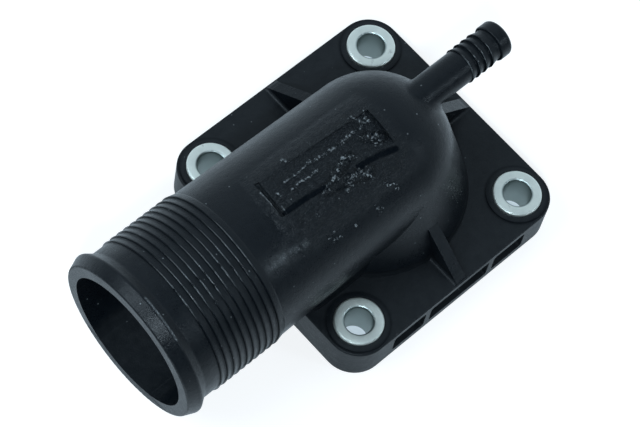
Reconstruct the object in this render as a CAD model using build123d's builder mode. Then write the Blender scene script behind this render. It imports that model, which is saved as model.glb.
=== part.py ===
from build123d import *
import os
from math import acos, atan2, cos, degrees, hypot, sin

# Coolant outlet connector. One moulded housing carries a square mounting flange, a round
# riser, an elbow with a ribbed hose spigot and a small barbed bleed nozzle. Four steel
# sleeves are moulded into the flange corners and a rubber seal lies in the mounting face.
# Millimetres. The mounting face is z = 0 with the bolt pattern centred on the origin,
# the hose spigot points to -X and the bleed nozzle to +X.

# Bolt sleeves
bolt_spacing = 50.0
sleeve_diameter = 11.6
sleeve_bore = 6.5
sleeve_length = 11.3
sleeve_rim_chamfer = 0.45
sleeve_entry_chamfer = 0.6
sleeve_waist_depth = 0.5
sleeve_waist_length = 4.0

# Flange
flange_thickness = 10.1
flange_margin = 7.95
flange_corner_radius = 7.7
flange_draft = 0.6
flange_edge_radius = 0.35
boss_margin = 1.4
boss_height = 0.4
boss_sink = 1.0

# Riser over the port
riser_diameter = 48.4
riser_wall = 2.6

# Hose tube and elbow
tube_axis_height = 24.4
tube_bore = 33.6
tube_wall = 2.45
elbow_narrowing = 0.8
spigot_reach = 71.7
mouth_step = 0.5
mouth_edge_radius = 0.5
bead_height = 1.75
bead_crest = 3.0
bead_back = 2.2
bead_crest_radius = 0.8
bead_foot_radius = 1.2
neck_step = 0.15
rib_count = 10
rib_pitch = 1.84
rib_height = 0.35
rib_start = 9.4
rib_slope_share = 0.8

# Skirt under the tube
skirt_width = 34.2
skirt_reach = 32.0
skirt_end_radius = 3.0

# Bleed nozzle
nozzle_axis_height = 36.3
nozzle_reach = 37.1
nozzle_bore = 5.0
nozzle_shank_diameter = 8.2
nozzle_root_radius = 1.8
barb_diameter = 8.8
barb_root_diameter = 7.9
barb_count = 4
barb_pitch = 2.07
barb_tip_gap = 0.72
barb_slope_share = 0.85
tip_diameter = 9.0
tip_length = 3.4
tip_back_radius = 0.3
tip_nose_radius = 1.0

# Gussets
gusset_width = 2.9
gusset_height = 12.1
gusset_toe = 0.3
gusset_setback = 0.6
gusset_root_radius = 0.8
gusset_root_land = 0.2
gusset_top_radius = 0.3

# Cored slots in two edges of the flange
slot_depth = 3.4
slot_floor = 2.0
slot_height = 6.1
slot_middle_length = 18.4
slot_side_length = 9.8
slot_web = 1.6
slot_corner_radius = 0.8

# Sunk pad and cross notch on top of the tube
pad_middle = -17.2
pad_length = 30.2
pad_width = 9.6
pad_offset = -0.8
pad_depth = 0.85
pad_roll = 3.0
pad_yaw = -3.5
notch_width = 1.2
notch_depth = 1.3

# Face seal
seal_land = 1.3
groove_width = 3.2
groove_depth = 1.9
seal_clearance = 0.15
seal_stand = 0.5
seal_lip_radius = 0.8

# Places that follow from the sizes
flange_width = bolt_spacing + 2 * flange_margin
flange_top = flange_thickness
bore_radius = tube_bore / 2
tube_radius = bore_radius + tube_wall
neck_radius = tube_radius + neck_step
mouth_radius = tube_radius + mouth_step
bead_radius = tube_radius + bead_height
elbow_radius = tube_radius - elbow_narrowing
elbow_bore_radius = bore_radius - elbow_narrowing
riser_radius = riser_diameter / 2
sleeve_radius = sleeve_diameter / 2
mouth_x = -spigot_reach
rib_x = mouth_x + rib_start
rib_end = rib_x + rib_count * rib_pitch
tip_x = nozzle_reach - tip_length
barb_start = tip_x - barb_tip_gap - barb_count * barb_pitch
tube_axis = Axis((0, 0, tube_axis_height), (1, 0, 0))
nozzle_axis = Axis((0, 0, nozzle_axis_height), (1, 0, 0))
groove_inner_radius = riser_radius - riser_wall + seal_land
groove_outer_radius = groove_inner_radius + groove_width


def riser_outline(foot, dome):
    """Half section of the riser, a cone that runs smoothly into the dome of the elbow."""
    rise = tube_axis_height - flange_top
    meet = acos(dome / hypot(foot, rise)) - atan2(rise, foot)
    return [
        (0, 0),
        (foot, 0),
        (foot, flange_top),
        (dome * cos(meet), tube_axis_height + dome * sin(meet)),
    ]


def teeth(start, step, count, root, crest, slope_share):
    """Saw teeth along X, each with its steep face towards -X."""
    points = []
    for index in range(count):
        tooth = start + index * step
        points.append((tooth, root))
        points.append((tooth, crest))
        points.append((tooth + slope_share * step, root))
    return points


# Outside of a sleeve, which is also the shape of its seat in the flange
with BuildPart() as sleeve_seat:
    waist_low = (sleeve_length - sleeve_waist_length) / 2
    waist_high = sleeve_length - waist_low
    waist_radius = sleeve_radius - sleeve_waist_depth
    with BuildSketch(Plane.XZ):
        with BuildLine():
            Polyline(
                (0, 0),
                (sleeve_radius, 0),
                (sleeve_radius, waist_low),
                (waist_radius, waist_low + sleeve_waist_depth),
                (waist_radius, waist_high - sleeve_waist_depth),
                (sleeve_radius, waist_high),
                (sleeve_radius, sleeve_length),
                (0, sleeve_length),
                close=True,
            )
        make_face()
    revolve(axis=Axis.Z)

with BuildPart() as sleeve:
    add(sleeve_seat.part)
    rim = sleeve.faces().sort_by(Axis.Z)[-1].edges()
    chamfer(rim, sleeve_rim_chamfer)
    Hole(sleeve_bore / 2)
    bore_edges = sleeve.edges().filter_by(GeomType.CIRCLE).group_by(SortBy.RADIUS)[0]
    chamfer(bore_edges, sleeve_entry_chamfer)

# Gusset along +X with rounded roots, cut to its slope
with BuildPart() as gusset:
    gusset_side = gusset_width / 2
    gusset_foot = gusset_side + gusset_root_radius + gusset_root_land
    gusset_top = flange_top + gusset_height
    gusset_edge = flange_width / 2 - gusset_setback
    with BuildSketch(Plane.YZ.offset(elbow_radius)):
        with BuildLine():
            FilletPolyline(
                (-gusset_foot, flange_top),
                (-gusset_side, flange_top),
                (-gusset_side, gusset_top),
                (gusset_side, gusset_top),
                (gusset_side, flange_top),
                (gusset_foot, flange_top),
                radius=(gusset_root_radius, gusset_top_radius, gusset_top_radius, gusset_root_radius),
            )
            Polyline(
                (gusset_foot, flange_top),
                (gusset_foot, 0),
                (-gusset_foot, 0),
                (-gusset_foot, flange_top),
            )
        make_face()
    extrude(amount=gusset_edge - elbow_radius)
    with BuildSketch(Plane.XZ):
        with BuildLine():
            Polyline(
                (elbow_radius, 0),
                (gusset_edge, 0),
                (gusset_edge, flange_top + gusset_toe),
                (elbow_radius, gusset_top),
                close=True,
            )
        make_face()
    extrude(amount=gusset_foot, both=True, mode=Mode.INTERSECT)

with BuildPart() as housing:
    # Flange with drafted edges and a low boss round each sleeve
    with BuildSketch():
        RectangleRounded(flange_width, flange_width, flange_corner_radius)
    extrude(amount=flange_thickness, taper=flange_draft)
    fillet(housing.faces().sort_by(Axis.Z)[-1].edges(), flange_edge_radius)
    with BuildSketch(Plane.XY.offset(flange_top - boss_sink)):
        with GridLocations(bolt_spacing, bolt_spacing, 2, 2):
            Circle(sleeve_radius + boss_margin)
    extrude(amount=boss_sink + boss_height)

    # Riser and the dome over it, turned about the port axis
    outline = riser_outline(riser_radius, elbow_radius)
    dome_top = (0, tube_axis_height + elbow_radius)
    with BuildSketch(Plane.XZ):
        with BuildLine():
            Polyline(*outline)
            RadiusArc(outline[-1], dome_top, -elbow_radius)
            Line(dome_top, outline[0])
        make_face()
    revolve(axis=Axis.Z)

    # Gussets from the riser to the middle of three flange edges
    for angle in (0, 90, -90):
        add(gusset.part, rotation=(0, 0, angle))

    # Skirt that closes the space between the tube and the flange
    with BuildSketch():
        with Locations((-skirt_reach / 2, 0)):
            Rectangle(skirt_reach, skirt_width)
        fillet(vertices().group_by(Axis.X)[0], skirt_end_radius)
    extrude(amount=tube_axis_height)

    # Hose spigot with its bead and ribs, and the tube that narrows to the elbow
    crest_x = mouth_x + bead_crest
    ribs = teeth(rib_x, rib_pitch, rib_count, neck_radius, neck_radius + rib_height, rib_slope_share)
    with BuildSketch(Plane((0, 0, tube_axis_height), x_dir=(1, 0, 0), z_dir=(0, -1, 0))):
        with BuildLine():
            FilletPolyline(
                (mouth_x, 0),
                (mouth_x, mouth_radius),
                (crest_x, bead_radius),
                (crest_x + bead_back, neck_radius),
                (rib_x, neck_radius),
                radius=(mouth_edge_radius, bead_crest_radius, bead_foot_radius),
            )
            Polyline(
                *ribs,
                (rib_end, tube_radius),
                (0, elbow_radius),
                (0, 0),
                (mouth_x, 0),
            )
        make_face()
    revolve(axis=tube_axis)

    # Bleed nozzle
    barb_root = barb_root_diameter / 2
    barbs = teeth(barb_start, barb_pitch, barb_count, barb_root, barb_diameter / 2, barb_slope_share)
    with BuildSketch(Plane((0, 0, nozzle_axis_height), x_dir=(1, 0, 0), z_dir=(0, -1, 0))):
        with BuildLine():
            Polyline(
                (0, 0),
                (0, nozzle_shank_diameter / 2),
                (barb_start, nozzle_shank_diameter / 2),
                *barbs[1:],
                (tip_x, barb_root),
            )
            FilletPolyline(
                (tip_x, barb_root),
                (tip_x, tip_diameter / 2),
                (nozzle_reach, tip_diameter / 2),
                (nozzle_reach, 0),
                (0, 0),
                radius=(tip_back_radius, tip_nose_radius, 0),
            )
        make_face()
    revolve(axis=nozzle_axis)
    nozzle_root = housing.edges(Select.LAST).filter_by(GeomType.BSPLINE)
    fillet(nozzle_root, nozzle_root_radius)

    # Chamber, tube bore and nozzle bore
    outline = riser_outline(riser_radius - riser_wall, elbow_bore_radius)
    dome_top = (0, tube_axis_height + elbow_bore_radius)
    with BuildSketch(Plane.XZ):
        with BuildLine():
            Polyline(*outline)
            RadiusArc(outline[-1], dome_top, -elbow_bore_radius)
            Line(dome_top, outline[0])
        make_face()
    revolve(axis=Axis.Z, mode=Mode.SUBTRACT)
    with BuildSketch(Plane((0, 0, tube_axis_height), x_dir=(1, 0, 0), z_dir=(0, -1, 0))):
        with BuildLine():
            Polyline(
                (mouth_x, 0),
                (mouth_x, bore_radius),
                (rib_end, bore_radius),
                (0, elbow_bore_radius),
                (0, 0),
                close=True,
            )
        make_face()
    revolve(axis=tube_axis, mode=Mode.SUBTRACT)
    with BuildSketch(Plane.YZ):
        with Locations((0, nozzle_axis_height)):
            Circle(nozzle_bore / 2)
    extrude(amount=nozzle_reach, mode=Mode.SUBTRACT)

    # Seats of the sleeves
    with GridLocations(bolt_spacing, bolt_spacing, 2, 2):
        add(sleeve_seat.part, mode=Mode.SUBTRACT)

    # Groove of the face seal
    with BuildSketch():
        Circle(groove_outer_radius)
        Circle(groove_inner_radius, mode=Mode.SUBTRACT)
    extrude(amount=groove_depth, mode=Mode.SUBTRACT)

    # Cored slots, three in each of the two long edges beside the tube
    slot_middle_z = slot_floor + slot_height / 2
    slot_side_x = slot_middle_length / 2 + slot_web + slot_side_length / 2
    for side in (1, -1):
        with BuildSketch(Plane.XZ.offset(side * flange_width / 2)):
            with Locations((0, slot_middle_z)):
                RectangleRounded(slot_middle_length, slot_height, slot_corner_radius)
            with Locations((-slot_side_x, slot_middle_z), (slot_side_x, slot_middle_z)):
                RectangleRounded(slot_side_length, slot_height, slot_corner_radius)
        extrude(amount=-side * slot_depth, mode=Mode.SUBTRACT)

    # Sunk pad that follows the narrowing tube, and the notch across its end
    narrowing = elbow_narrowing / rib_end
    pad_top = tube_axis_height + elbow_radius + pad_middle * narrowing
    pad_place = (pad_middle, pad_offset, pad_top - pad_depth)
    pad_pitch = degrees(atan2(-narrowing, 1))
    pad_plane = Plane(pad_place).rotated((pad_roll, pad_pitch, pad_yaw))
    with BuildSketch(pad_plane):
        Rectangle(pad_length, pad_width)
    extrude(amount=2 * pad_depth, mode=Mode.SUBTRACT)
    with BuildSketch(pad_plane.offset(pad_depth - notch_depth)):
        with Locations((-(pad_length + notch_width) / 2, 0)):
            Rectangle(notch_width, pad_width)
    extrude(amount=2 * notch_depth, mode=Mode.SUBTRACT)

# Face seal, a flat-backed ring with a rounded lip that stands proud of the mounting face
with BuildPart() as flange_seal:
    inner = groove_inner_radius + seal_clearance
    outer = groove_outer_radius - seal_clearance
    with BuildSketch(Plane.XZ):
        with BuildLine():
            Polyline(
                (inner, groove_depth),
                (outer, groove_depth),
                (outer, -seal_stand),
                (inner, -seal_stand),
                close=True,
            )
        make_face()
        fillet(vertices().group_by(Axis.Y)[0], seal_lip_radius)
    revolve(axis=Axis.Z)

os.makedirs("parts", exist_ok=True)
housing.part.label = "housing"
export_step(housing.part, "parts/housing.step")
flange_seal.part.label = "flange_seal"
export_step(flange_seal.part, "parts/flange_seal.step")

corners = {
    "sleeve_spigot_left": (-1, 1),
    "sleeve_spigot_right": (-1, -1),
    "sleeve_nozzle_left": (1, 1),
    "sleeve_nozzle_right": (1, -1),
}
for name, (along, across) in corners.items():
    with BuildPart() as corner_sleeve:
        with Locations((along * bolt_spacing / 2, across * bolt_spacing / 2, 0)):
            add(sleeve.part)
    corner_sleeve.part.label = name
    export_step(corner_sleeve.part, f"parts/{name}.step")
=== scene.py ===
import math

import bmesh
import bpy
from bpy.props import FloatProperty, FloatVectorProperty, PointerProperty
from bpy.types import Operator, Panel, PropertyGroup
from mathutils import Euler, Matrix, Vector


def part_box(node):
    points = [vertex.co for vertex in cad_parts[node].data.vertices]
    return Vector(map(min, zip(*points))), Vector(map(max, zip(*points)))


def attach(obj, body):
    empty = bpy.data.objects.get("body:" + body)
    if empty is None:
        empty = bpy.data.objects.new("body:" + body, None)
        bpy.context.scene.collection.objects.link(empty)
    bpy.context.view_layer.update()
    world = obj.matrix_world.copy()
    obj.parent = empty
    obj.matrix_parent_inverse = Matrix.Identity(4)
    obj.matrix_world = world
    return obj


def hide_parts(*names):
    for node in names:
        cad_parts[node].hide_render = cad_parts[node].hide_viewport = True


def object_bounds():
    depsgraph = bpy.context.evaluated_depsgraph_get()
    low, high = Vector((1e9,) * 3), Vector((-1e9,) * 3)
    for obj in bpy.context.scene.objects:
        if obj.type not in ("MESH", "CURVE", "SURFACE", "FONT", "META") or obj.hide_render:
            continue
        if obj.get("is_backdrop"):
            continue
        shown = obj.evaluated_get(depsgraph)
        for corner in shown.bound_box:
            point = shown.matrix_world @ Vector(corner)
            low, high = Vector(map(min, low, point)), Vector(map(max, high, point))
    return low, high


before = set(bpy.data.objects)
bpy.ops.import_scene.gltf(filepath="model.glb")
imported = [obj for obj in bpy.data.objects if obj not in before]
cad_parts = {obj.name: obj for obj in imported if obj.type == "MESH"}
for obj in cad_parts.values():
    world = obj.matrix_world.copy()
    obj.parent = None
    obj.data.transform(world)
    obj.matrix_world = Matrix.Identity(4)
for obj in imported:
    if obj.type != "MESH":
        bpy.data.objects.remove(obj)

# A coolant outlet connector moulded in black nylon, with four zinc-plated steel sleeves
# in its flange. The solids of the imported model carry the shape. This file gives them
# their finishes, turns the sleeves, lays the torn shavings on the scraped pad and sets
# the camera, floor, room and lamps. Places on the part are in millimetres.

bl_info = {
    "name": "Coolant outlet connector",
    "version": (1, 0, 0),
    "blender": (4, 5, 0),
    "location": "View3D > Sidebar > Outlet",
    "description": "Finishes a moulded coolant outlet connector and its studio stage",
    "category": "Object",
}

MM = 0.001

HOUSING = "housing"
SEAL = "flange_seal"
SLEEVES = ("sleeve_spigot_left", "sleeve_spigot_right", "sleeve_nozzle_left", "sleeve_nozzle_right")

# Saw teeth along X as start, end, pitch, axis height, root radius and crest radius: the
# spigot's ribs and the nozzle's barbs, with the soft edge of each of these bounds
TEETH = (
    (-62.3, -43.9, 1.84, 24.4, 19.35, 19.8),
    (24.7, 32.98, 2.07, 36.3, 3.9, 4.45),
)
TOOTH_START_EDGE = 0.2
TOOTH_END_EDGE = 0.1
TOOTH_ROOT_EDGE = 0.05
TOOTH_CREST_EDGE = 0.2

# Place of the sleeves' axes either side of the middle, and the low boss round each: its
# radius, the width over which its edge rounds off and the width of the painted shade round
# its foot
SLEEVE_PLACE = 25.0
BOSS_RADIUS = 7.2
BOSS_ROUND = 1.0
BOSS_EDGE = 0.1
BOSS_FOOT_SHADE_WIDTH = 0.8

# Bounds on the housing, each as where it starts and where it is full
TUBE_TOP = (35.4, 39.9)
FLANGE = (12.5, 11.0)
BOSS_ABOVE = (9.6, 9.9)
BOSS_BELOW = (12.0, 11.0)
ZONE_FROM_RIBS = (-37.0, -30.0)
ZONE_TO_ELBOW = (1.5, -4.0)
ZONE_FROM_RIGHT = (-15.5, -9.0)
ZONE_TO_LEFT = (9.0, 4.5)
# Bounds across the tube of the painted highlight on the rib crests
HIGHLIGHT_FROM_RIGHT = (-11.5, -7.0)
HIGHLIGHT_TO_LEFT = (1.5, -2.5)
DUST_TO_MOUTH = (-48.0, -66.0)
DUST_TO_LEFT = (-12.0, 6.0)
# Bounds of the painted shade on the left gusset
GUSSET_WIDTH = (2.2, 1.6)
GUSSET_FROM = (19.0, 21.0)
GUSSET_ABOVE = (10.8, 11.2)

# How far the scraped zone's bounds sway
ZONE_SWAY = 4.0
ELBOW_SWAY = 3.0

# Wear, painted shade and painted highlights as strokes through (x, y), each with its half width
# Scars: a groove in the bump, darkened with painted shade
SEAM_SCARS = (
    ((-32.0, -4.1), (-26.9, -4.3), (-21.6, -4.9), 0.75),
    ((-12.4, -5.7), (-8.0, -6.3), (-2.9, -7.5), 0.75),
)
TORN_PLACES = (
    ((-21.5, -5.4), (-11.2, -7.6), 1.5),
    ((-18.2, -4.2), (-12.4, -2.9), 1.1),
    ((-6.6, -1.6), (-3.6, -3.6), 1.3),
)
RAISED_LINES = (
    ((-27.9, 1.3), (-20.5, 1.4), (-12.0, 0.9), (-3.2, 1.1), 0.22),
    ((-27.7, -0.7), (-20.3, -0.9), 0.2),
)
# Painted highlights along the notch's edges
NOTCH_EDGE_HIGHLIGHTS = (
    ((-33.5, 2.6), (-33.5, -4.6), 0.17),
    ((-31.85, -2.4), (-31.95, -4.3), 0.14),
)
# Painted highlights: the lamp's streak on the tube's near side and the bead's rim
TUBE_STREAK_HIGHLIGHT = (((-42.5, -10.6), (-38.0, -11.0), (-32.5, -11.5), 0.6),)
BEAD_RIM_HIGHLIGHT = (((-68.4, -1.0), (-68.6, -11.2), 0.24),)

# Each kind of wear, painted shade or painted highlight: its strokes, the distance in half
# widths at which it starts and at which it is full, how far its course sways along X and Y
# and the noise that sways it on Y
WEAR_AND_PAINTED_LIGHT = {
    "scar_and_shade": (SEAM_SCARS, (1.15, 0.5), 0.0, 0.7, "wander"),
    "torn": (TORN_PLACES, (1.3, 0.5), 2.2, 2.2, "wander_aside"),
    "line": (RAISED_LINES, (1.4, 0.6), 0.0, 0.35, "wander"),
    "notch": (NOTCH_EDGE_HIGHLIGHTS, (1.5, 0.5), 0.3, 0.0, "wander"),
    "streak_highlight": (TUBE_STREAK_HIGHLIGHT, (2.2, 0.0), 2.2, 1.6, "wander"),
    "rim": (BEAD_RIM_HIGHLIGHT, (1.7, 0.2), 0.0, 0.0, "wander"),
}

# Noises in the nylon: features in a millimetre, detail, roughness and, where it is not
# even, the stretch along X, Y and Z
NYLON_NOISES = {
    "cloud": (0.09, 3.0, 0.5, None),
    "mottle": (0.55, 4.0, 0.6, None),
    "grain": (2.6, 3.0, 0.7, None),
    "flow": (0.8, 3.0, 0.5, (0.12, 1.0, 1.0)),
    "wander": (1.5, 4.0, 0.75, None),
    "wander_aside": (1.5, 4.0, 0.75, (1.0, 1.0, -1.0)),
    "scratch": (2.1, 2.0, 0.6, (0.35, 2.4, 1.0)),
    "crumb": (2.3, 3.0, 0.75, None),
    "shine": (3.4, 2.0, 0.6, None),
    "rub": (1.1, 5.0, 0.7, (0.5, 1.5, 1.0)),
}
# Cells in the nylon: cells in a millimetre, the distance measured and the stretch
NYLON_CELLS = {
    "chips": (1.25, "F2", (0.8, 1.0, 1.0)),
    "pit": (1.1, "F1", None),
    "speck": (0.33, "F1", None),
}
# Patterns cut from a noise or from cells, with where each starts and where it is full
NYLON_CUTS = {
    "pits": ("pit", 0.16, 0.04),
    "specks": ("speck", 0.075, 0.03),
    "crumbs": ("crumb", 0.56, 0.68),
    "glint": ("shine", 0.52, 0.62),
    "scuff": ("rub", 0.5, 0.68),
    # Painted shade in the gaps between torn chips
    "gaps": ("chips", 0.62, 0.45),
    "line_patches": ("mottle", 0.40, 0.50),
    "crest_patches": ("mottle", 0.36, 0.5),
    "streak_patches": ("mottle", 0.36, 0.54),
    "dust_patches": ("mottle", 0.5, 0.62),
}

# Weight of each pattern in the nylon's roughness
ROUGHENING = {
    "cloud_sway": 0.24,
    "mottle_sway": 0.16,
    "flange": 0.12,
    "zone": 0.06,
    "specks": 0.2,
    "scar_and_shade": 0.2,
    "glint": -0.08,
    "crest": -0.18,
}
# Height of each pattern in millimetres: everywhere, in the scraped zone, in torn places
# and on raised lines
RELIEF = {"flow": 0.015, "mottle": 0.08, "scar_and_shade": -0.45, "crest": -0.22, "boss": -0.2}
ZONE_RELIEF = {"scratch": 0.3, "mottle": 1.0, "scuff": 0.2, "pits": -0.1}
TORN_RELIEF = {"chips": 0.9, "crumbs": 0.25}
LINE_HEIGHT = 0.2
LINE_RELIEF = {"crumbs": 0.15}

# Weight of each pattern on the way to the scraped tone, alone or times the glints; those of
# the notch, the crests and the marks are painted highlights
TORN_PALENESS = {"torn": 0.8, "line": 0.7}
SPECK_PALENESS = 0.5
CRUMB_PALENESS = 0.1
DUST_PALENESS = 0.05
SCUFF_PALENESS = (0.04, 0.12)
NOTCH_HIGHLIGHT_PALENESS = (0.2, 0.5)
CREST_HIGHLIGHT_PALENESS = (0.4, 0.6)
MARK_HIGHLIGHT_PALENESS = (0.25, 0.75)
STREAK_HIGHLIGHT_SHARE = 0.6
CREST_HIGHLIGHT_LINE = (0.3, 0.8)

# Painted shade: the weight of each hollow on the way to unlit black, and the most they come to
SCAR_PAINTED_SHADE = 0.55
SCAR_MOTTLE_PAINTED_SHADE = 0.6
GAP_PAINTED_SHADE = 0.8
GUSSET_PAINTED_SHADE = 0.6
BOSS_FOOT_PAINTED_SHADE = 0.3
MOST_PAINTED_SHADE = 0.92

NYLON_IOR = 1.53

# The shavings: two noises, where their pale specks start and are full, the sway of their
# roughness and the grain's height in millimetres
SHAVING_SPECKLE = (2.0, 3.0, 0.7)
SHAVING_GRAIN = (9.0, 2.0, 0.6)
SHAVING_SPECKS = (0.45, 0.62)
SHAVING_SWAY = 0.3
SHAVING_GRAIN_HEIGHT = 0.03

# The steel: two noises, the turning rings' phase in a millimetre and the shift that the
# clouds give it, the heights of rings and grain, the stains and the bounds by radius of the
# painted shade in the bore
STEEL_CLOUDS = (0.35, 4.0, 0.6)
STEEL_GRAIN = (4.5, 3.0, 0.6)
RING_RATE = 24.0
RING_SHIFT = 3.0
RING_HEIGHT = 0.01
STEEL_GRAIN_HEIGHT = 0.02
STEEL_SWAY = 0.2
STAIN = (0.62, 0.75)
STAIN_SHARE = 0.4
STAIN_TONE = 0.22
BORE_SHADE_BOUNDS = (3.9, 3.4)

# The rubber: two noises, its tones, its roughness and its heights
RUBBER_BLOOM = (0.6, 4.0, 0.6)
RUBBER_GRAIN = (6.0, 2.0, 0.5)
RUBBER_TONES = (0.008, 0.022)
RUBBER_ROUGHNESS = 0.62
RUBBER_SWAY = 0.25
RUBBER_GRAIN_HEIGHT = 0.02
RUBBER_BLOOM_HEIGHT = 0.03

# The camera's sensor in millimetres and what it sees between, in metres
SENSOR_WIDTH = 36.0
SEEN_FROM = 0.01
SEEN_TO = 20.0

# The floor and the room: half the floor's side in metres, the bounds of its far part and
# of the part under the flange, the paper's noise and how much it lightens the tone, the
# camera's side as a direction and the bounds of the fade towards it
FLOOR_REACH = 3.0
FAR_FLOOR = (-120.0, -50.0)
UNDER_FLANGE = (30.0, 29.0)
PAPER = (0.2, 2.0, 0.5)
PAPER_SWAY = 0.01
NEAR_SIDE = (-0.83, -0.55)
NEAR_FADE = (-0.55, 0.1)

# Soft boxes: azimuth and elevation in degrees, distance and side in metres, watts
SOFT_BOXES = (
    ("box_left", 150.0, 50.0, 1.0, 0.5, 5.0),
    ("box_right", -142.0, 54.0, 1.0, 0.08, 4.0),
    ("box_near", -62.0, 33.0, 1.0, 0.14, 1.1),
)

# Steps of a sleeve's rounds and of its turn
ROUND_STEPS = 5
TURN_STEPS = 96

# Shavings: how strongly most are small, their least and greatest stretch and turn, and
# features in a millimetre of the noise that makes them ragged
SMALL_BIAS = 2.5
CHIP_SQUASH = ((0.6, 0.5, 0.35), (1.7, 1.1, 0.8))
CHIP_TURN = ((-0.6, -0.6, 0.0), (0.6, 0.6, 6.28))
RAGGED_RATE = 4.0

# Edges that bend less than this are smooth on shavings and on sleeves, and points closer
# than this many metres are one
CHIP_SMOOTH = math.radians(60.0)
SLEEVE_SMOOTH = math.radians(32.0)
WELD = 1e-6

# Rows of torn shavings through (x, y), each with its scatter
SHAVINGS = (
    ((-27.9, 1.3), (-23.5, 1.3), (-20.2, 1.6), 0.10),
    ((-20.8, 1.9), (-17.8, 1.0), (-14.6, 0.8), 0.35),
    ((-14.8, 0.9), (-10.5, 0.6), 0.45),
    ((-10.5, 1.0), (-3.2, 1.1), 0.25),
    ((-27.8, -0.8), (-24.5, -0.6), (-22.5, -1.1), (-20.0, -0.9), 0.18),
    ((-5.8, 4.0), (-5.2, 2.6), (-4.2, 1.3), (-3.0, 2.3), (-3.0, 3.4), 0.25),
    ((-23.2, -5.7), (-20.8, -5.0), (-18.3, -4.4), 0.20),
    ((-18.6, -3.6), (-17.6, -5.6), 0.70),
    ((-16.9, -3.5), (-13.9, -2.0), (-12.0, -3.3), 0.35),
    ((-17.9, -8.2), (-15.4, -7.0), (-13.2, -6.5), 0.55),
    ((-13.0, -7.3), (-11.2, -8.4), (-11.4, -10.0), 0.55),
    ((-6.6, -1.2), (-3.8, -2.6), (-5.8, -4.2), 0.85),
    ((-9.6, -11.2), (-7.2, -13.6), 0.50),
    ((-25.4, 5.2), (-24.2, 6.2), (-24.0, 4.8), 0.15),
    ((-30.9, 0.8), (-30.3, -0.6), 0.15),
    ((-26.6, -13.3), (-24.8, -13.7), 0.80),
    ((-13.8, -13.6), (-12.6, -15.0), 0.90),
    ((-20.4, -13.8), (-20.0, -14.3), 0.30),
    ((-27.2, -8.0), (-27.1, -8.5), 0.45),
)


class Wire:
    """A socket in a finish. Arithmetic on it adds the Math node it needs."""

    def __init__(self, finish, socket):
        self.finish = finish
        self.socket = socket

    def __add__(self, other):
        return self.finish.sum("ADD", self, other)

    __radd__ = __add__

    def __sub__(self, other):
        return self.finish.sum("SUBTRACT", self, other)

    def __rsub__(self, other):
        return self.finish.sum("SUBTRACT", other, self)

    def __mul__(self, other):
        return self.finish.sum("MULTIPLY", self, other)

    __rmul__ = __mul__

    def __truediv__(self, other):
        return self.finish.sum("DIVIDE", self, other)

    def __pow__(self, other):
        return self.finish.sum("POWER", self, other)

    def __abs__(self):
        return self.finish.sum("ABSOLUTE", self)


class Finish:
    """The nodes of a material, or of the room's light, in the making."""

    def __init__(self, holder):
        self.holder = holder
        holder.use_nodes = True
        self.tree = holder.node_tree
        self.tree.nodes.clear()

    def node(self, kind, settings=None, **inputs):
        """Adds a node, sets its settings, then its sockets by name or by in0, in1 and so on."""
        made = self.tree.nodes.new(kind)
        for key, value in (settings or {}).items():
            setattr(made, key, value)
        for key, value in inputs.items():
            numbered = key[:2] == "in" and key[2:].isdigit()
            socket = made.inputs[int(key[2:]) if numbered else key.replace("_", " ")]
            if isinstance(value, Wire):
                self.tree.links.new(value.socket, socket)
            else:
                socket.default_value = value
        return made

    def out(self, made, name=0):
        return Wire(self, made.outputs[name])

    def sum(self, operation, *terms, clamp=False):
        sockets = {f"in{index}": term for index, term in enumerate(terms)}
        settings = {"operation": operation, "use_clamp": clamp}
        return self.out(self.node("ShaderNodeMath", settings, **sockets))

    def least(self, one, other):
        return self.sum("MINIMUM", one, other)

    def most(self, one, other):
        return self.sum("MAXIMUM", one, other)

    def step(self, value, start, full):
        """0 at start and 1 at full, smooth between them, whichever of the two is higher."""
        made = self.node(
            "ShaderNodeMapRange",
            {"interpolation_type": "SMOOTHSTEP"},
            Value=value,
            From_Min=start,
            From_Max=full,
        )
        return self.out(made)

    def stretch(self, place, amounts):
        if amounts is None:
            return place
        made = self.node("ShaderNodeVectorMath", {"operation": "MULTIPLY"}, in0=place, in1=amounts)
        return self.out(made)

    def noise(self, place, scale, detail=2.0, roughness=0.5, stretch=None):
        made = self.node(
            "ShaderNodeTexNoise",
            Vector=self.stretch(place, stretch),
            Scale=scale,
            Detail=detail,
            Roughness=roughness,
        )
        return self.out(made, 0)

    def cells(self, place, scale, feature, stretch=None):
        made = self.node(
            "ShaderNodeTexVoronoi",
            {"feature": feature},
            Vector=self.stretch(place, stretch),
            Scale=scale,
        )
        return self.out(made, "Distance")

    def blend(self, factor, one, other):
        """A colour that goes from one to other."""
        made = self.node("ShaderNodeMix", {"data_type": "RGBA"}, Factor=factor, in6=one, in7=other)
        return self.out(made, 2)

    def bump(self, height):
        """A normal raised by a height in millimetres."""
        return self.out(self.node("ShaderNodeBump", Height=height, Distance=MM))

    def surface(self, **inputs):
        return self.out(self.node("ShaderNodeBsdfPrincipled", **inputs))

    def place(self):
        """Object coordinates in millimetres."""
        where = self.out(self.node("ShaderNodeTexCoord"), "Object")
        scaled = self.node("ShaderNodeVectorMath", {"operation": "SCALE"}, in0=where, Scale=1 / MM)
        return self.out(scaled)

    def axes(self, place):
        split = self.node("ShaderNodeSeparateXYZ", in0=place)
        return self.out(split, 0), self.out(split, 1), self.out(split, 2)

    def end(self, shader, output="ShaderNodeOutputMaterial"):
        self.node(output, Surface=shader)
        return self.holder


def grey(tone):
    return (tone, tone, tone, 1.0)


def tint(colour):
    return (*colour, 1.0)


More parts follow.
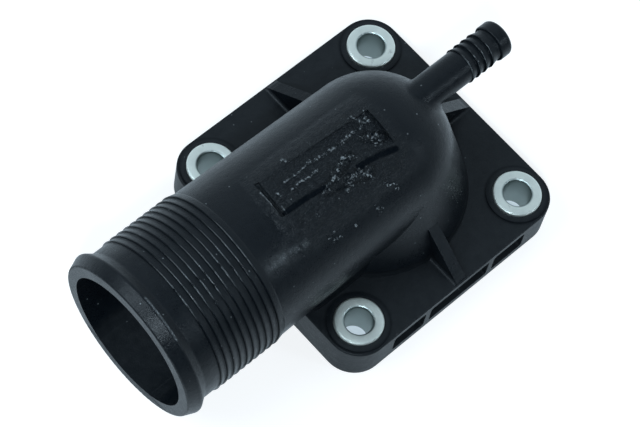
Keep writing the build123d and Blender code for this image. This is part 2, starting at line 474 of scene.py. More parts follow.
def segment_distance(finish, x, y, start, end):
    """Distance in the plane from (x, y) to a straight stroke."""
    along = (end[0] - start[0], end[1] - start[1])
    length_squared = along[0] ** 2 + along[1] ** 2
    away_x = x - start[0]
    away_y = y - start[1]
    share = finish.sum(
        "ADD",
        away_x * (along[0] / length_squared),
        away_y * (along[1] / length_squared),
        clamp=True,
    )
    side_x = away_x - share * along[0]
    side_y = away_y - share * along[1]
    return (side_x * side_x + side_y * side_y) ** 0.5


def nearness(finish, x, y, strokes):
    """Distance to the nearest stroke, in that stroke's half widths."""
    nearest = None
    for *points, half_width in strokes:
        for start, end in zip(points, points[1:]):
            reach = segment_distance(finish, x, y, start, end) / half_width
            nearest = reach if nearest is None else finish.least(nearest, reach)
    return nearest


def sleeve_distance(x, y):
    """Distance from the nearest sleeve's axis."""
    away_x = abs(abs(x) - SLEEVE_PLACE)
    away_y = abs(abs(y) - SLEEVE_PLACE)
    return (away_x * away_x + away_y * away_y) ** 0.5


def weigh(patterns, weights, start=0.0):
    """A start value plus each named pattern times its weight."""
    for name, weight in weights.items():
        start = start + patterns[name] * weight
    return start


def nylon_patterns(finish, place):
    """The patterns that run all over the nylon."""
    patterns = {}
    for name, (scale, detail, roughness, stretch) in NYLON_NOISES.items():
        patterns[name] = finish.noise(place, scale, detail, roughness, stretch)
    for name, (scale, feature, stretch) in NYLON_CELLS.items():
        patterns[name] = finish.cells(place, scale, feature, stretch)
    for name, (source, start, full) in NYLON_CUTS.items():
        patterns[name] = finish.step(patterns[source], start, full)
    for name in ("cloud", "mottle"):
        patterns[name + "_sway"] = patterns[name] - 0.5
    for name in ("wander", "wander_aside"):
        patterns[name] = patterns[name] - 0.5
    return patterns


def add_wear(finish, x, y, top, patterns):
    """Adds the scraped zone and the strokes of wear on the tube's top to the patterns."""
    mottle_sway = patterns["mottle_sway"]
    patterns["zone"] = (
        finish.step(x + mottle_sway * ZONE_SWAY, *ZONE_FROM_RIBS)
        * finish.step(x + mottle_sway * ELBOW_SWAY, *ZONE_TO_ELBOW)
        * finish.step(y + patterns["cloud_sway"] * ZONE_SWAY, *ZONE_FROM_RIGHT)
        * finish.step(y, *ZONE_TO_LEFT)
        * top
    )

    for kind, (strokes, edge, sway_x, sway_y, swayed_by) in WEAR_AND_PAINTED_LIGHT.items():
        course_x = x + patterns["wander"] * sway_x if sway_x else x
        course_y = y + patterns[swayed_by] * sway_y if sway_y else y
        patterns[kind] = finish.step(nearness(finish, course_x, course_y, strokes), *edge) * top
    patterns["line"] = patterns["line"] * patterns["line_patches"]


def rounded_crests(finish, x, y, z, share):
    """1 on the crests of the ribs and barbs, falling to 0 over a share of their pitch."""
    crests = None
    for start, end, pitch, axis_height, root, crest in TEETH:
        up = z - axis_height
        radius = (y * y + up * up) ** 0.5
        phase = finish.sum("FRACT", (x - start) / pitch)
        band = (
            finish.step(x, start - TOOTH_START_EDGE, start)
            * finish.step(x, end + TOOTH_END_EDGE, end - TOOTH_END_EDGE)
            * finish.step(radius, root - TOOTH_ROOT_EDGE, root + TOOTH_ROOT_EDGE)
            * finish.step(radius, crest + TOOTH_CREST_EDGE, crest)
        )
        rounded = finish.step(phase, share, 0.0) * band
        crests = rounded if crests is None else crests + rounded
    return crests


def nylon_paleness(finish, y, top, patterns, settings):
    """How far the nylon goes towards its scraped tone: torn, scuffed, dusty or painted highlight.
    """
    crumbs, glint, zone = patterns["crumbs"], patterns["glint"], patterns["zone"]

    def glinting(weights):
        plain, shining = weights
        return glint * shining + plain

    torn = weigh(patterns, TORN_PALENESS) * crumbs * settings.tear_whiteness
    scuffs = zone * (crumbs * CRUMB_PALENESS + patterns["scuff"] * glinting(SCUFF_PALENESS))
    highlight_band = finish.step(y, *HIGHLIGHT_FROM_RIGHT) * finish.step(y, *HIGHLIGHT_TO_LEFT) * top
    # Painted highlight along the rib crests, in a band across the tube's top
    crests = finish.step(patterns["crest"], *CREST_HIGHLIGHT_LINE) * patterns["crest_patches"]
    crests = crests * glinting(CREST_HIGHLIGHT_PALENESS) * highlight_band
    # Painted highlights: the lamp's streak on the tube and the bead's rim
    streak_highlight = patterns["streak_highlight"] * patterns["streak_patches"] * STREAK_HIGHLIGHT_SHARE
    highlight_marks = (streak_highlight + patterns["rim"]) * glinting(MARK_HIGHLIGHT_PALENESS)
    return (
        patterns["specks"] * SPECK_PALENESS
        + torn
        + scuffs
        + patterns["dust"] * crumbs * DUST_PALENESS
        # Painted highlight on the notch's edges
        + patterns["notch"] * glinting(NOTCH_HIGHLIGHT_PALENESS)
        + crests * settings.crest_highlight
        + highlight_marks * settings.mark_highlight
    )


def black_nylon(settings):
    """Glass-filled nylon, satin on the tube and duller on the flange, with the scraped pad."""
    finish = Finish(bpy.data.materials.new("black_nylon"))
    place = finish.place()
    x, y, z = finish.axes(place)
    patterns = nylon_patterns(finish, place)
    top = finish.step(z, *TUBE_TOP)
    add_wear(finish, x, y, top, patterns)

    # The flange, the rounded crests, the bosses round the sleeves with painted shade at their
    # foot and dust on the ribs
    flange = finish.step(z, *FLANGE)
    from_sleeve = sleeve_distance(x, y)
    boss = finish.step(from_sleeve, BOSS_RADIUS - BOSS_ROUND, BOSS_RADIUS + BOSS_EDGE)
    boss = boss * finish.step(z, *BOSS_BELOW) * finish.step(z, *BOSS_ABOVE)
    boss_foot_shade = boss * finish.step(from_sleeve, BOSS_RADIUS + BOSS_FOOT_SHADE_WIDTH, BOSS_RADIUS + BOSS_EDGE)
    dust = finish.step(x, *DUST_TO_MOUTH) * finish.step(y, *DUST_TO_LEFT)
    patterns["flange"] = flange
    patterns["boss"] = boss
    patterns["crest"] = rounded_crests(finish, x, y, z, settings.crest_share)
    patterns["dust"] = patterns["dust_patches"] * dust

    mottle = patterns["mottle"]
    pale = nylon_paleness(finish, y, top, patterns, settings)
    shade = finish.blend(mottle, tint(settings.colour_low), tint(settings.colour_high))
    # The scraped tone also carries the painted highlights
    shade = finish.blend(pale, shade, tint(settings.scraped))
    shade = finish.blend(flange * mottle, shade, tint(settings.flange_tone))

    height = (
        patterns["grain"] * (settings.grain_depth / MM)
        + weigh(patterns, RELIEF)
        + patterns["zone"] * weigh(patterns, ZONE_RELIEF)
        + patterns["torn"] * weigh(patterns, TORN_RELIEF)
        + patterns["line"] * weigh(patterns, LINE_RELIEF, LINE_HEIGHT)
    )
    satin = finish.surface(
        Base_Color=shade,
        Roughness=weigh(patterns, ROUGHENING, settings.roughness),
        Normal=finish.bump(height),
        IOR=NYLON_IOR,
        Specular_IOR_Level=settings.gloss,
    )

    # Painted shade, mixed towards unlit black: the scars, the gaps in torn places, the left
    # gusset and the foot of each boss
    gusset_shade = finish.step(abs(x), *GUSSET_WIDTH) * finish.step(y, *GUSSET_FROM)
    gusset_shade = gusset_shade * finish.step(z, *GUSSET_ABOVE)
    painted_shade = finish.least(
        patterns["scar_and_shade"] * (mottle * SCAR_MOTTLE_PAINTED_SHADE + SCAR_PAINTED_SHADE)
        + patterns["torn"] * patterns["gaps"] * GAP_PAINTED_SHADE
        + gusset_shade * GUSSET_PAINTED_SHADE
        + boss_foot_shade * BOSS_FOOT_PAINTED_SHADE,
        MOST_PAINTED_SHADE,
    )
    dark = finish.out(finish.node("ShaderNodeBsdfDiffuse", Color=tint(settings.colour_low)))
    both = finish.node("ShaderNodeMixShader", in0=painted_shade, in1=satin, in2=dark)
    return finish.end(finish.out(both))


def torn_nylon(settings):
    """The paler, rougher nylon of torn shavings."""
    finish = Finish(bpy.data.materials.new("torn_nylon"))
    place = finish.place()
    speck = finish.noise(place, *SHAVING_SPECKLE)
    grain = finish.noise(place, *SHAVING_GRAIN)
    pale = finish.step(speck, *SHAVING_SPECKS) * settings.tear_whiteness
    shader = finish.surface(
        Base_Color=finish.blend(pale, tint(settings.colour_high), tint(settings.scraped)),
        Roughness=settings.roughness + (speck - 0.5) * SHAVING_SWAY,
        Normal=finish.bump(grain * SHAVING_GRAIN_HEIGHT),
        IOR=NYLON_IOR,
        Specular_IOR_Level=settings.gloss,
    )
    return finish.end(shader)


def zinc_steel(settings):
    """Zinc-plated steel, faintly clouded, with turning rings on the faces and painted shade
    in the bores.
    """
    finish = Finish(bpy.data.materials.new("zinc_plated_steel"))
    place = finish.place()
    x, y, _ = finish.axes(place)
    cloud = finish.noise(place, *STEEL_CLOUDS)
    grain = finish.noise(place, *STEEL_GRAIN)
    radius = sleeve_distance(x, y)
    rings = finish.sum("SINE", radius * RING_RATE + cloud * RING_SHIFT)

    shade = finish.blend(cloud, tint(settings.zinc_low), tint(settings.zinc_high))
    shade = finish.blend(finish.step(cloud, *STAIN) * STAIN_SHARE, shade, grey(STAIN_TONE))
    # Painted shade inside the bore
    bore_shade = finish.step(radius, *BORE_SHADE_BOUNDS) * settings.bore_dulling
    shader = finish.surface(
        Base_Color=finish.blend(bore_shade, shade, tint(settings.bore_shade_tone)),
        Metallic=1.0,
        Roughness=settings.roughness + (cloud - 0.5) * STEEL_SWAY,
        Normal=finish.bump(rings * RING_HEIGHT + grain * STEEL_GRAIN_HEIGHT),
    )
    return finish.end(shader)


def seal_rubber():
    """Moulded black rubber with a dull bloom."""
    finish = Finish(bpy.data.materials.new("seal_rubber"))
    place = finish.place()
    bloom = finish.noise(place, *RUBBER_BLOOM)
    grain = finish.noise(place, *RUBBER_GRAIN)
    darker, lighter = RUBBER_TONES
    shader = finish.surface(
        Base_Color=finish.blend(bloom, grey(darker), grey(lighter)),
        Roughness=RUBBER_ROUGHNESS + (bloom - 0.5) * RUBBER_SWAY,
        Normal=finish.bump(grain * RUBBER_GRAIN_HEIGHT + bloom * RUBBER_BLOOM_HEIGHT),
    )
    return finish.end(shader)


def pale_floor(settings):
    """A floor that is white to the camera, pale in gloss, and keeps the shadow."""
    finish = Finish(bpy.data.materials.new("pale_floor"))
    path = finish.node("ShaderNodeLightPath")
    camera = finish.out(path, "Is Camera Ray")
    place = finish.place()
    x, y, _ = finish.axes(place)

    # Gloss sees less of the near part
    far = finish.step(y, *FAR_FLOOR)
    share = settings.near_gloss + far * (settings.far_gloss - settings.near_gloss)
    seen = finish.most(camera, finish.out(path, "Is Glossy Ray") * share)
    seen = finish.most(seen, finish.out(path, "Is Transmission Ray"))

    # The floor under the flange, which only shows through the bolt holes, stays in shade
    under = finish.step(abs(x), *UNDER_FLANGE) * finish.step(abs(y), *UNDER_FLANGE)
    tone = finish.blend(camera * (1 - under), tint(settings.room_tone), grey(1.0))
    lift = seen * (1 - under * settings.under_shade) * settings.floor_lift

    paper = finish.noise(place, *PAPER)
    shade = finish.blend(paper, grey(settings.floor_tone), grey(settings.floor_tone + PAPER_SWAY))
    card = finish.node("ShaderNodeBsdfDiffuse", Color=shade)
    glow = finish.node("ShaderNodeEmission", Color=tone, Strength=lift)
    both = finish.node("ShaderNodeAddShader", in0=finish.out(card), in1=finish.out(glow))
    return finish.end(finish.out(both))


def room_light(settings):
    """A room that is pale near the floor and dimmer overhead and behind the camera."""
    finish = Finish(bpy.data.worlds.new("room"))
    towards = finish.out(finish.node("ShaderNodeTexCoord"), "Generated")
    across, along, height = finish.axes(towards)
    low = finish.step(height, settings.pale_height, 0.0)
    level = settings.room_level + low * (settings.pale_level - settings.room_level)
    near = finish.step(across * NEAR_SIDE[0] + along * NEAR_SIDE[1], *NEAR_FADE)
    level = level * (1 - near * settings.near_dimming)
    glow = finish.node("ShaderNodeBackground", Color=tint(settings.room_tone), Strength=level)
    return finish.end(finish.out(glow), "ShaderNodeOutputWorld")


def link(name, data):
    made = bpy.data.objects.new(name, data)
    bpy.context.scene.collection.objects.link(made)
    return made


def dress(node, material):
    """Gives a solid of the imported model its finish."""
    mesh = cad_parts[node].data
    mesh.materials.clear()
    mesh.materials.append(material)


class ShapeTree:
    """A Geometry Nodes tree in the making, with named inputs and one shape as its result."""

    def __init__(self, name, inputs):
        self.tree = bpy.data.node_groups.new(name, "GeometryNodeTree")
        for label, (kind, value) in inputs.items():
            socket = self.tree.interface.new_socket(
                label, in_out="INPUT", socket_type="NodeSocket" + kind
            )
            if value is not None:
                socket.default_value = value
        self.tree.interface.new_socket("Shape", in_out="OUTPUT", socket_type="NodeSocketGeometry")
        self.given = self.add("NodeGroupInput").outputs
        self.result = self.add("NodeGroupOutput")

    def add(self, kind, inputs=None, **settings):
        """Adds a node, sets its settings, then its sockets by name or number."""
        made = self.tree.nodes.new(kind)
        for key, value in settings.items():
            setattr(made, key, value)
        for key, value in (inputs or {}).items():
            if isinstance(value, bpy.types.NodeSocket):
                self.tree.links.new(value, made.inputs[key])
            else:
                made.inputs[key].default_value = value
        return made

    def arithmetic(self, operation, one, other):
        return self.add("ShaderNodeMath", {0: one, 1: other}, operation=operation).outputs[0]

    def scaled(self, vector, factor):
        made = self.add("ShaderNodeVectorMath", {0: vector, "Scale": factor}, operation="SCALE")
        return made.outputs[0]

    def chance(self, kind, low, high, draw):
        """A random number or vector for each point, from the seed and the draw's number."""
        seed = self.arithmetic("ADD", self.given["Seed"], draw)
        made = self.add("FunctionNodeRandomValue", {"Seed": seed}, data_type=kind)
        open_inputs = [item for item in made.inputs if item.enabled and not item.is_unavailable]
        for socket, value in zip(open_inputs, (low, high)):
            socket.default_value = value
        return next(item for item in made.outputs if item.enabled and not item.is_unavailable)

    def end(self, shape, material):
        painted = self.add("GeometryNodeSetMaterial", {"Geometry": shape, "Material": material})
        self.tree.links.new(painted.outputs[0], self.result.inputs[0])
        return self.tree


def sleeve_tree(material):
    """A turned sleeve, its section swept round the bolt axis."""
    shape = ShapeTree("turned_sleeve", {
        "Outside radius": ("Float", 5.8 * MM),
        "Bore radius": ("Float", 3.25 * MM),
        "Length": ("Float", 11.3 * MM),
        "Rim round": ("Float", 0.45 * MM),
        "Entry round": ("Float", 0.6 * MM),
        "Foot": ("Vector", (0.0, 0.0, 0.0)),
    })
    add, arithmetic, given = shape.add, shape.arithmetic, shape.given
    wall = arithmetic("SUBTRACT", given["Outside radius"], given["Bore radius"])
    both = arithmetic("ADD", given["Outside radius"], given["Bore radius"])
    middle = arithmetic("MULTIPLY", both, 0.5)
    section = add(
        "GeometryNodeCurvePrimitiveQuadrilateral", {"Width": wall, "Height": given["Length"]}
    )

    # The outer corners get the rim's round and the inner ones the entry's
    split = add("ShaderNodeSeparateXYZ", {0: add("GeometryNodeInputPosition").outputs[0]})
    chosen = add(
        "GeometryNodeSwitch",
        {
            "Switch": arithmetic("GREATER_THAN", split.outputs[0], 0.0),
            "False": given["Entry round"],
            "True": given["Rim round"],
        },
        input_type="FLOAT",
    )
    rounded = add(
        "GeometryNodeFilletCurve",
        {"Curve": section.outputs[0], "Radius": chosen.outputs[0], "Count": ROUND_STEPS},
        mode="POLY",
    )
    ring = add("GeometryNodeCurvePrimitiveCircle", {"Radius": middle, "Resolution": TURN_STEPS})
    swept = add(
        "GeometryNodeCurveToMesh", {"Curve": ring.outputs[0], "Profile Curve": rounded.outputs[0]}
    )

    # Half a length up, so that the foot is the lower face
    lift = add("ShaderNodeCombineXYZ", {"Z": arithmetic("MULTIPLY", given["Length"], 0.5)})
    stand = add("ShaderNodeVectorMath", {0: given["Foot"], 1: lift.outputs[0]}, operation="ADD")
    moved = add(
        "GeometryNodeTransform", {"Geometry": swept.outputs[0], "Translation": stand.outputs[0]}
    )
    real = add("GeometryNodeRealizeInstances", {0: moved.outputs[0]})
    return shape.end(real.outputs[0], material)


def shavings_tree(material):
    """Torn shavings strewn along strokes and laid on the surface under them."""
    shape = ShapeTree("torn_shavings", {
        "Strokes": ("Geometry", None),
        "Ground": ("Object", None),
        "Spacing": ("Float", 0.2 * MM),
        "Smallest": ("Float", 0.1 * MM),
        "Largest": ("Float", 0.3 * MM),
        "Seed": ("Int", 7),
    })
    add, given = shape.add, shape.given

    # Points along the strokes, each pushed aside by up to its stroke's scatter
    lines = add("GeometryNodeMeshToCurve", {"Mesh": given["Strokes"]})
    points = add(
        "GeometryNodeCurveToPoints",
        {"Curve": lines.outputs[0], "Length": given["Spacing"]},
        mode="LENGTH",
    )
    scatter = add("GeometryNodeInputNamedAttribute", {"Name": "scatter"}, data_type="FLOAT")
    spread = shape.chance("FLOAT_VECTOR", (-1.0, -1.0, 0.0), (1.0, 1.0, 0.0), 1)
    strewn = add(
        "GeometryNodeSetPosition",
        {"Geometry": points.outputs["Points"], "Offset": shape.scaled(spread, scatter.outputs[0])},
    )

    # Down onto the ground
    ground = add("GeometryNodeObjectInfo", {"Object": given["Ground"]}, transform_space="RELATIVE")
    fall = add(
        "GeometryNodeRaycast",
        {
            "Target Geometry": ground.outputs["Geometry"],
            "Ray Direction": (0.0, 0.0, -1.0),
            "Ray Length": 1.0,
        },
    )
    laid = add(
        "GeometryNodeSetPosition",
        {
            "Geometry": strewn.outputs[0],
            "Selection": fall.outputs["Is Hit"],
            "Position": fall.outputs["Hit Position"],
        },
    )

    # Flattened chips, most of them small, turned every way
    skewed = shape.arithmetic("POWER", shape.chance("FLOAT", 0.0, 1.0, 2), SMALL_BIAS)
    grown = add("ShaderNodeMapRange", {0: skewed, 3: given["Smallest"], 4: given["Largest"]})
    squash = shape.chance("FLOAT_VECTOR", *CHIP_SQUASH, 3)
    chip = add("GeometryNodeMeshIcoSphere", {"Radius": 1.0, "Subdivisions": 2})
    strewn_chips = add(
        "GeometryNodeInstanceOnPoints",
        {
            "Points": laid.outputs[0],
            "Instance": chip.outputs[0],
            "Rotation": shape.chance("FLOAT_VECTOR", *CHIP_TURN, 4),
            "Scale": shape.scaled(squash, grown.outputs[0]),
        },
    )
    real = add("GeometryNodeRealizeInstances", {0: strewn_chips.outputs[0]})

    # Ragged by a noise in place
    ragged = add("ShaderNodeTexNoise", {"Scale": RAGGED_RATE / MM, "Detail": 2.0})
    centred = add(
        "ShaderNodeVectorMath", {0: ragged.outputs[1], 1: (0.5, 0.5, 0.5)}, operation="SUBTRACT"
    )
    torn = add(
        "GeometryNodeSetPosition",
        {
            "Geometry": real.outputs[0],
            "Offset": shape.scaled(centred.outputs[0], given["Smallest"]),
        },
    )
    return shape.end(torn.outputs[0], material)


def run_tree(name, tree, values, start=None):
    """The plain mesh that a tree makes of a start mesh with these values for its named inputs."""
    seed = link(name, start or bpy.data.meshes.new(name))
    modifier = seed.modifiers.new("shape", "NODES")
    modifier.node_group = tree
    for item in tree.interface.items_tree:
        if item.item_type == "SOCKET" and item.in_out == "INPUT" and item.name in values:
            modifier[item.identifier] = values[item.name]
    bpy.context.view_layer.update()
    graph = bpy.context.evaluated_depsgraph_get()
    made = bpy.data.meshes.new_from_object(seed.evaluated_get(graph))
    seed.modifiers.remove(modifier)
    seed.data = made
    return seed


def stroke_mesh(strokes, height):
    """Edges along the strokes, whose points carry the stroke's scatter in metres."""
    places, edges, scatters = [], [], []
    for *points, scatter in strokes:
        for index, (x, y) in enumerate(points):
            if index:
                edges.append((len(places) - 1, len(places)))
            places.append((x * MM, y * MM, height))
            scatters.append(scatter * MM)
    mesh = bpy.data.meshes.new("strokes")
    mesh.from_pydata(places, edges, [])
    mesh.attributes.new("scatter", "FLOAT", "POINT").data.foreach_set("value", scatters)
    return mesh


def face_outwards(piece, smooth_angle):
    """Turns every face outwards and smooths what bends less than the angle."""
    work = bmesh.new()
    work.from_mesh(piece.data)
    bmesh.ops.remove_doubles(work, verts=work.verts, dist=WELD)
    bmesh.ops.recalc_face_normals(work, faces=work.faces)
    for face in work.faces:
        face.smooth = True
    for edge in work.edges:
        edge.smooth = len(edge.link_faces) == 2 and edge.calc_face_angle() < smooth_angle
    work.to_mesh(piece.data)
    work.free()


class OutletPlastic(PropertyGroup):
    """The moulded housing's finish"""

    colour_low: FloatVectorProperty(
        name="Dark plastic", description="Darker tone of the nylon", subtype="COLOR",
        size=3, min=0.0, max=1.0, default=(0.0022, 0.0036, 0.0056),
    )
    colour_high: FloatVectorProperty(
        name="Light plastic", description="Lighter tone of the nylon", subtype="COLOR",
        size=3, min=0.0, max=1.0, default=(0.0052, 0.0076, 0.0102),
    )
    # Also the tone of the painted highlights
    scraped: FloatVectorProperty(
        name="Scraped plastic", description="Tone of torn nylon, of dust and of painted highlights", subtype="COLOR",
        size=3, min=0.0, max=1.0, default=(0.30, 0.32, 0.33),
    )
    roughness: FloatProperty(
        name="Roughness", description="Mean roughness of the moulded skin", subtype="FACTOR",
        min=0.0, max=1.0, default=0.36,
    )
    gloss: FloatProperty(
        name="Gloss", description="Specular level of the nylon", subtype="FACTOR",
        min=0.0, max=1.0, default=0.22,
    )
    tear_whiteness: FloatProperty(
        name="Tear whiteness", description="How pale the torn lips of the scrapes are",
        subtype="FACTOR", min=0.0, max=1.0, default=0.72,
    )
    grain_depth: FloatProperty(
        name="Grain depth", description="Depth of the skin's fine grain", subtype="DISTANCE",
        unit="LENGTH", min=0.0, default=0.00005,
    )
    crest_share: FloatProperty(
        name="Crest rounding", description="Share of a rib's pitch over which its crest rounds off",
        subtype="FACTOR", min=0.0, max=1.0, default=0.17,
    )
    # A painted highlight along the rib crests
    crest_highlight: FloatProperty(
        name="Crest highlight", description="How pale the painted highlight on the ribs' crests is",
        subtype="FACTOR", min=0.0, max=1.0, default=0.65,
    )
    # Painted highlights on the tube's streak and the bead's rim
    mark_highlight: FloatProperty(
        name="Highlight marks", description="How pale the speckled painted highlights are",
        subtype="FACTOR", min=0.0, max=1.0, default=0.65,
    )
    flange_tone: FloatVectorProperty(
        name="Flange tone", description="Lighter tone of the dull flange", subtype="COLOR",
        size=3, min=0.0, max=1.0, default=(0.0125, 0.0145, 0.0165),
    )
    shaving_spacing: FloatProperty(
        name="Shaving spacing", description="Distance between torn shavings along a scrape",
        subtype="DISTANCE", unit="LENGTH", min=0.00005, default=0.00016,
    )
    shaving_size: FloatProperty(
        name="Shaving size", description="Half length of the largest torn shaving",
        subtype="DISTANCE", unit="LENGTH", min=0.00005, default=0.0004,
    )


class OutletSteel(PropertyGroup):
    """The sleeves' plating and edges"""

    zinc_low: FloatVectorProperty(
        name="Dark zinc", description="Darker tone of the plating", subtype="COLOR",
        size=3, min=0.0, max=1.0, default=(0.77, 0.82, 0.77),
    )
    zinc_high: FloatVectorProperty(
        name="Light zinc", description="Lighter tone of the plating", subtype="COLOR",
        size=3, min=0.0, max=1.0, default=(0.96, 0.99, 0.92),
    )
    roughness: FloatProperty(
        name="Roughness", description="Mean roughness of the plating", subtype="FACTOR",
        min=0.0, max=1.0, default=0.42,
    )
    # Painted shade inside the bore: its tone, then how far it goes
    bore_shade_tone: FloatVectorProperty(
        name="Bore shade tone", description="Tone of the painted shade inside the bore", subtype="COLOR",
        size=3, min=0.0, max=1.0, default=(0.09, 0.15, 0.16),
    )
    bore_dulling: FloatProperty(
        name="Bore shade", description="How far painted shade darkens the bore",
        subtype="FACTOR", min=0.0, max=1.0, default=0.7,
    )
    bore: FloatProperty(
        name="Bore", description="Diameter of the bolt bore", subtype="DISTANCE",
        unit="LENGTH", min=0.001, default=0.0065,
    )
    rim_round: FloatProperty(
        name="Rim round", description="Rounding of the outer rim", subtype="DISTANCE",
        unit="LENGTH", min=0.0, default=0.0005,
    )
    entry_round: FloatProperty(
        name="Entry round", description="Rounding where the bolt goes in", subtype="DISTANCE",
        unit="LENGTH", min=0.0, default=0.0006,
    )


class OutletStage(PropertyGroup):
    """Camera, floor, room and lamps"""

    eye: FloatVectorProperty(
        name="Camera place", description="Where the camera stands", subtype="XYZ",
        unit="LENGTH", size=3, default=(-0.19986, -0.13159, 0.47081),
    )
    turn: FloatVectorProperty(
        name="Camera turn", description="How the camera is turned", subtype="EULER",
        unit="ROTATION", size=3, default=(0.448514, -0.106555, -0.736868),
    )
    lens: FloatProperty(
        name="Lens", description="Focal length on a 36 mm wide sensor", subtype="DISTANCE_CAMERA",
        min=1.0, default=127.08,
    )
    room_tone: FloatVectorProperty(
        name="Room tone", description="Colour of the room's light and the lamps", subtype="COLOR",
        size=3, min=0.0, max=1.0, default=(0.72, 0.88, 1.0),
    )
    room_level: FloatProperty(
        name="Room level", description="Strength of the room's light overhead",
        min=0.0, default=0.72,
    )
    pale_level: FloatProperty(
        name="Pale level", description="Strength of the room's light near the floor",
        min=0.0, default=0.8,
    )
    pale_height: FloatProperty(
        name="Pale height", description="Sine of the elevation up to which the room is pale",
        min=0.0, max=1.0, default=0.3,
    )
    near_dimming: FloatProperty(
        name="Near side dimming", description="How much dimmer the room is behind the camera",
        subtype="FACTOR", min=0.0, max=1.0, default=0.8,
    )
    lamp_level: FloatProperty(
        name="Lamp level", description="Factor on all lamps", min=0.0, default=1.0,
    )
    floor_tone: FloatProperty(
        name="Floor tone", description="Paleness of the floor", subtype="FACTOR",
        min=0.0, max=0.98, default=0.45,
    )
    near_gloss: FloatProperty(
        name="Near gloss", description="Share of the floor's lift that gloss sees on the near side",
        subtype="FACTOR", min=0.0, max=1.0, default=0.2,
    )
    far_gloss: FloatProperty(
        name="Far gloss", description="Share of the floor's lift that gloss sees on the far side",
        subtype="FACTOR", min=0.0, max=1.0, default=0.88,
    )
    under_shade: FloatProperty(
        name="Shade under the flange", description="How much darker the floor is under the flange",
        subtype="FACTOR", min=0.0, max=1.0, default=0.18,
    )
    floor_lift: FloatProperty(
        name="Floor lift", description="Added paleness where the camera or gloss sees the floor",
        min=0.0, default=0.74,
    )


class OUTLET_OT_housing(Operator):
    """Gives the moulded housing its nylon finish"""

    bl_idname = "outlet.housing"
    bl_label = "Housing"

    def execute(self, context):
        dress(HOUSING, black_nylon(context.scene.outlet_plastic))
        return {"FINISHED"}


class OUTLET_OT_shavings(Operator):
    """Strews the torn shavings over the scraped pad"""

    bl_idname = "outlet.shavings"
    bl_label = "Torn shavings"

    def execute(self, context):
        settings = context.scene.outlet_plastic
        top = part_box(HOUSING)[1].z
        piece = run_tree(
            "torn_shavings",
            shavings_tree(torn_nylon(settings)),
            {
                "Ground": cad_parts[HOUSING],
                "Spacing": settings.shaving_spacing,
                "Largest": settings.shaving_size,
            },
            stroke_mesh(SHAVINGS, top + MM),
        )
        if not piece.data.polygons:
            raise RuntimeError("no shavings were laid on the housing")
        face_outwards(piece, CHIP_SMOOTH)
        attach(piece, "root")
        return {"FINISHED"}


class OUTLET_OT_sleeves(Operator):
    """Turns the four steel sleeves in place of their plain solids"""

    bl_idname = "outlet.sleeves"
    bl_label = "Sleeves"

    def execute(self, context):
        settings = context.scene.outlet_steel
        tree = sleeve_tree(zinc_steel(settings))
        for node in SLEEVES:
            low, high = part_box(node)
            middle = (low + high) / 2
            piece = run_tree(
                node.replace("sleeve", "steel_sleeve"),
                tree,
                {
                    "Outside radius": (high.x - low.x) / 2,
                    "Bore radius": settings.bore / 2,
                    "Length": high.z - low.z,
                    "Rim round": settings.rim_round,
                    "Entry round": settings.entry_round,
                    "Foot": (middle.x, middle.y, low.z),
                },
            )
            face_outwards(piece, SLEEVE_SMOOTH)
            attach(piece, "root")
            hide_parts(node)
        return {"FINISHED"}


class OUTLET_OT_seal(Operator):
    """Gives the face seal its rubber finish"""

    bl_idname = "outlet.seal"
    bl_label = "Face seal"

    def execute(self, context):
        dress(SEAL, seal_rubber())
        return {"FINISHED"}


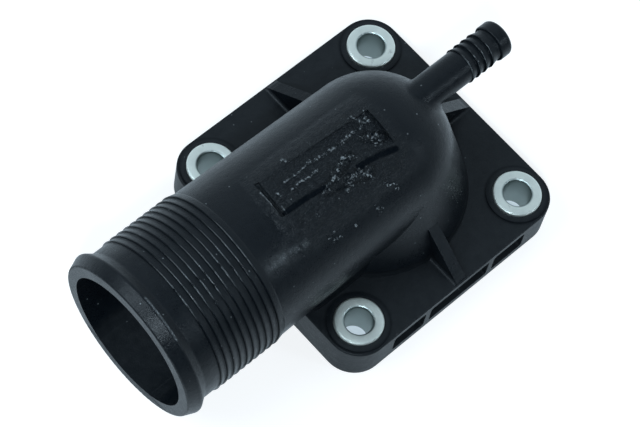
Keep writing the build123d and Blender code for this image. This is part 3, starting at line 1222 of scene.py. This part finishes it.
class OUTLET_OT_stage(Operator):
    """Sets the camera, the pale floor, the lamps and the room"""

    bl_idname = "outlet.stage"
    bl_label = "Stage"

    def execute(self, context):
        scene = context.scene
        settings = scene.outlet_stage
        scene.view_settings.view_transform = "Standard"

        lens = bpy.data.cameras.new("camera")
        lens.sensor_width = SENSOR_WIDTH
        lens.lens = settings.lens
        lens.clip_start = SEEN_FROM
        lens.clip_end = SEEN_TO
        camera = link("camera", lens)
        camera.location = settings.eye
        camera.rotation_euler = Euler(settings.turn)
        scene.camera = camera

        low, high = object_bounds()
        middle = (low + high) / 2
        sheet = bpy.data.meshes.new("floor")
        corners = [
            (middle.x + x * FLOOR_REACH, middle.y + y * FLOOR_REACH, low.z)
            for x, y in ((-1, -1), (1, -1), (1, 1), (-1, 1))
        ]
        sheet.from_pydata(corners, [], [(0, 1, 2, 3)])
        sheet.materials.append(pale_floor(settings))
        link("floor", sheet)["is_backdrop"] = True

        scene.world = room_light(settings)
        for name, azimuth, elevation, distance, side, watts in SOFT_BOXES:
            lamp = bpy.data.lights.new(name, "AREA")
            lamp.shape = "SQUARE"
            lamp.size = side
            lamp.energy = watts * settings.lamp_level
            lamp.color = settings.room_tone
            box = link(name, lamp)
            turned, raised = math.radians(azimuth), math.radians(elevation)
            towards = Vector((
                math.cos(raised) * math.cos(turned),
                math.cos(raised) * math.sin(turned),
                math.sin(raised),
            ))
            box.location = middle + towards * distance
            box.rotation_euler = towards.to_track_quat("Z", "Y").to_euler()
        return {"FINISHED"}


class OUTLET_PT_sidebar(Panel):
    """Lists the steps and settings"""

    bl_idname = "OUTLET_PT_sidebar"
    bl_label = "Coolant outlet"
    bl_space_type = "VIEW_3D"
    bl_region_type = "UI"
    bl_category = "Outlet"

    def draw(self, context):
        column = self.layout.column()
        for step in STEPS:
            column.operator(step.bl_idname)
        scene = context.scene
        for group in (scene.outlet_plastic, scene.outlet_steel, scene.outlet_stage):
            box = self.layout.box()
            for key in group.__annotations__:
                box.prop(group, key)


STEPS = (OUTLET_OT_housing, OUTLET_OT_shavings, OUTLET_OT_sleeves, OUTLET_OT_seal, OUTLET_OT_stage)
CLASSES = (OutletPlastic, OutletSteel, OutletStage, *STEPS, OUTLET_PT_sidebar)


def register():
    for item in CLASSES:
        bpy.utils.register_class(item)
    bpy.types.Scene.outlet_plastic = PointerProperty(type=OutletPlastic)
    bpy.types.Scene.outlet_steel = PointerProperty(type=OutletSteel)
    bpy.types.Scene.outlet_stage = PointerProperty(type=OutletStage)


def unregister():
    del bpy.types.Scene.outlet_stage
    del bpy.types.Scene.outlet_steel
    del bpy.types.Scene.outlet_plastic
    for item in reversed(CLASSES):
        bpy.utils.unregister_class(item)


def main():
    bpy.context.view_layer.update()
    register()
    bpy.ops.outlet.housing()
    bpy.ops.outlet.shavings()
    bpy.ops.outlet.sleeves()
    bpy.ops.outlet.seal()
    bpy.ops.outlet.stage()


if __name__ == "__main__":
    main()
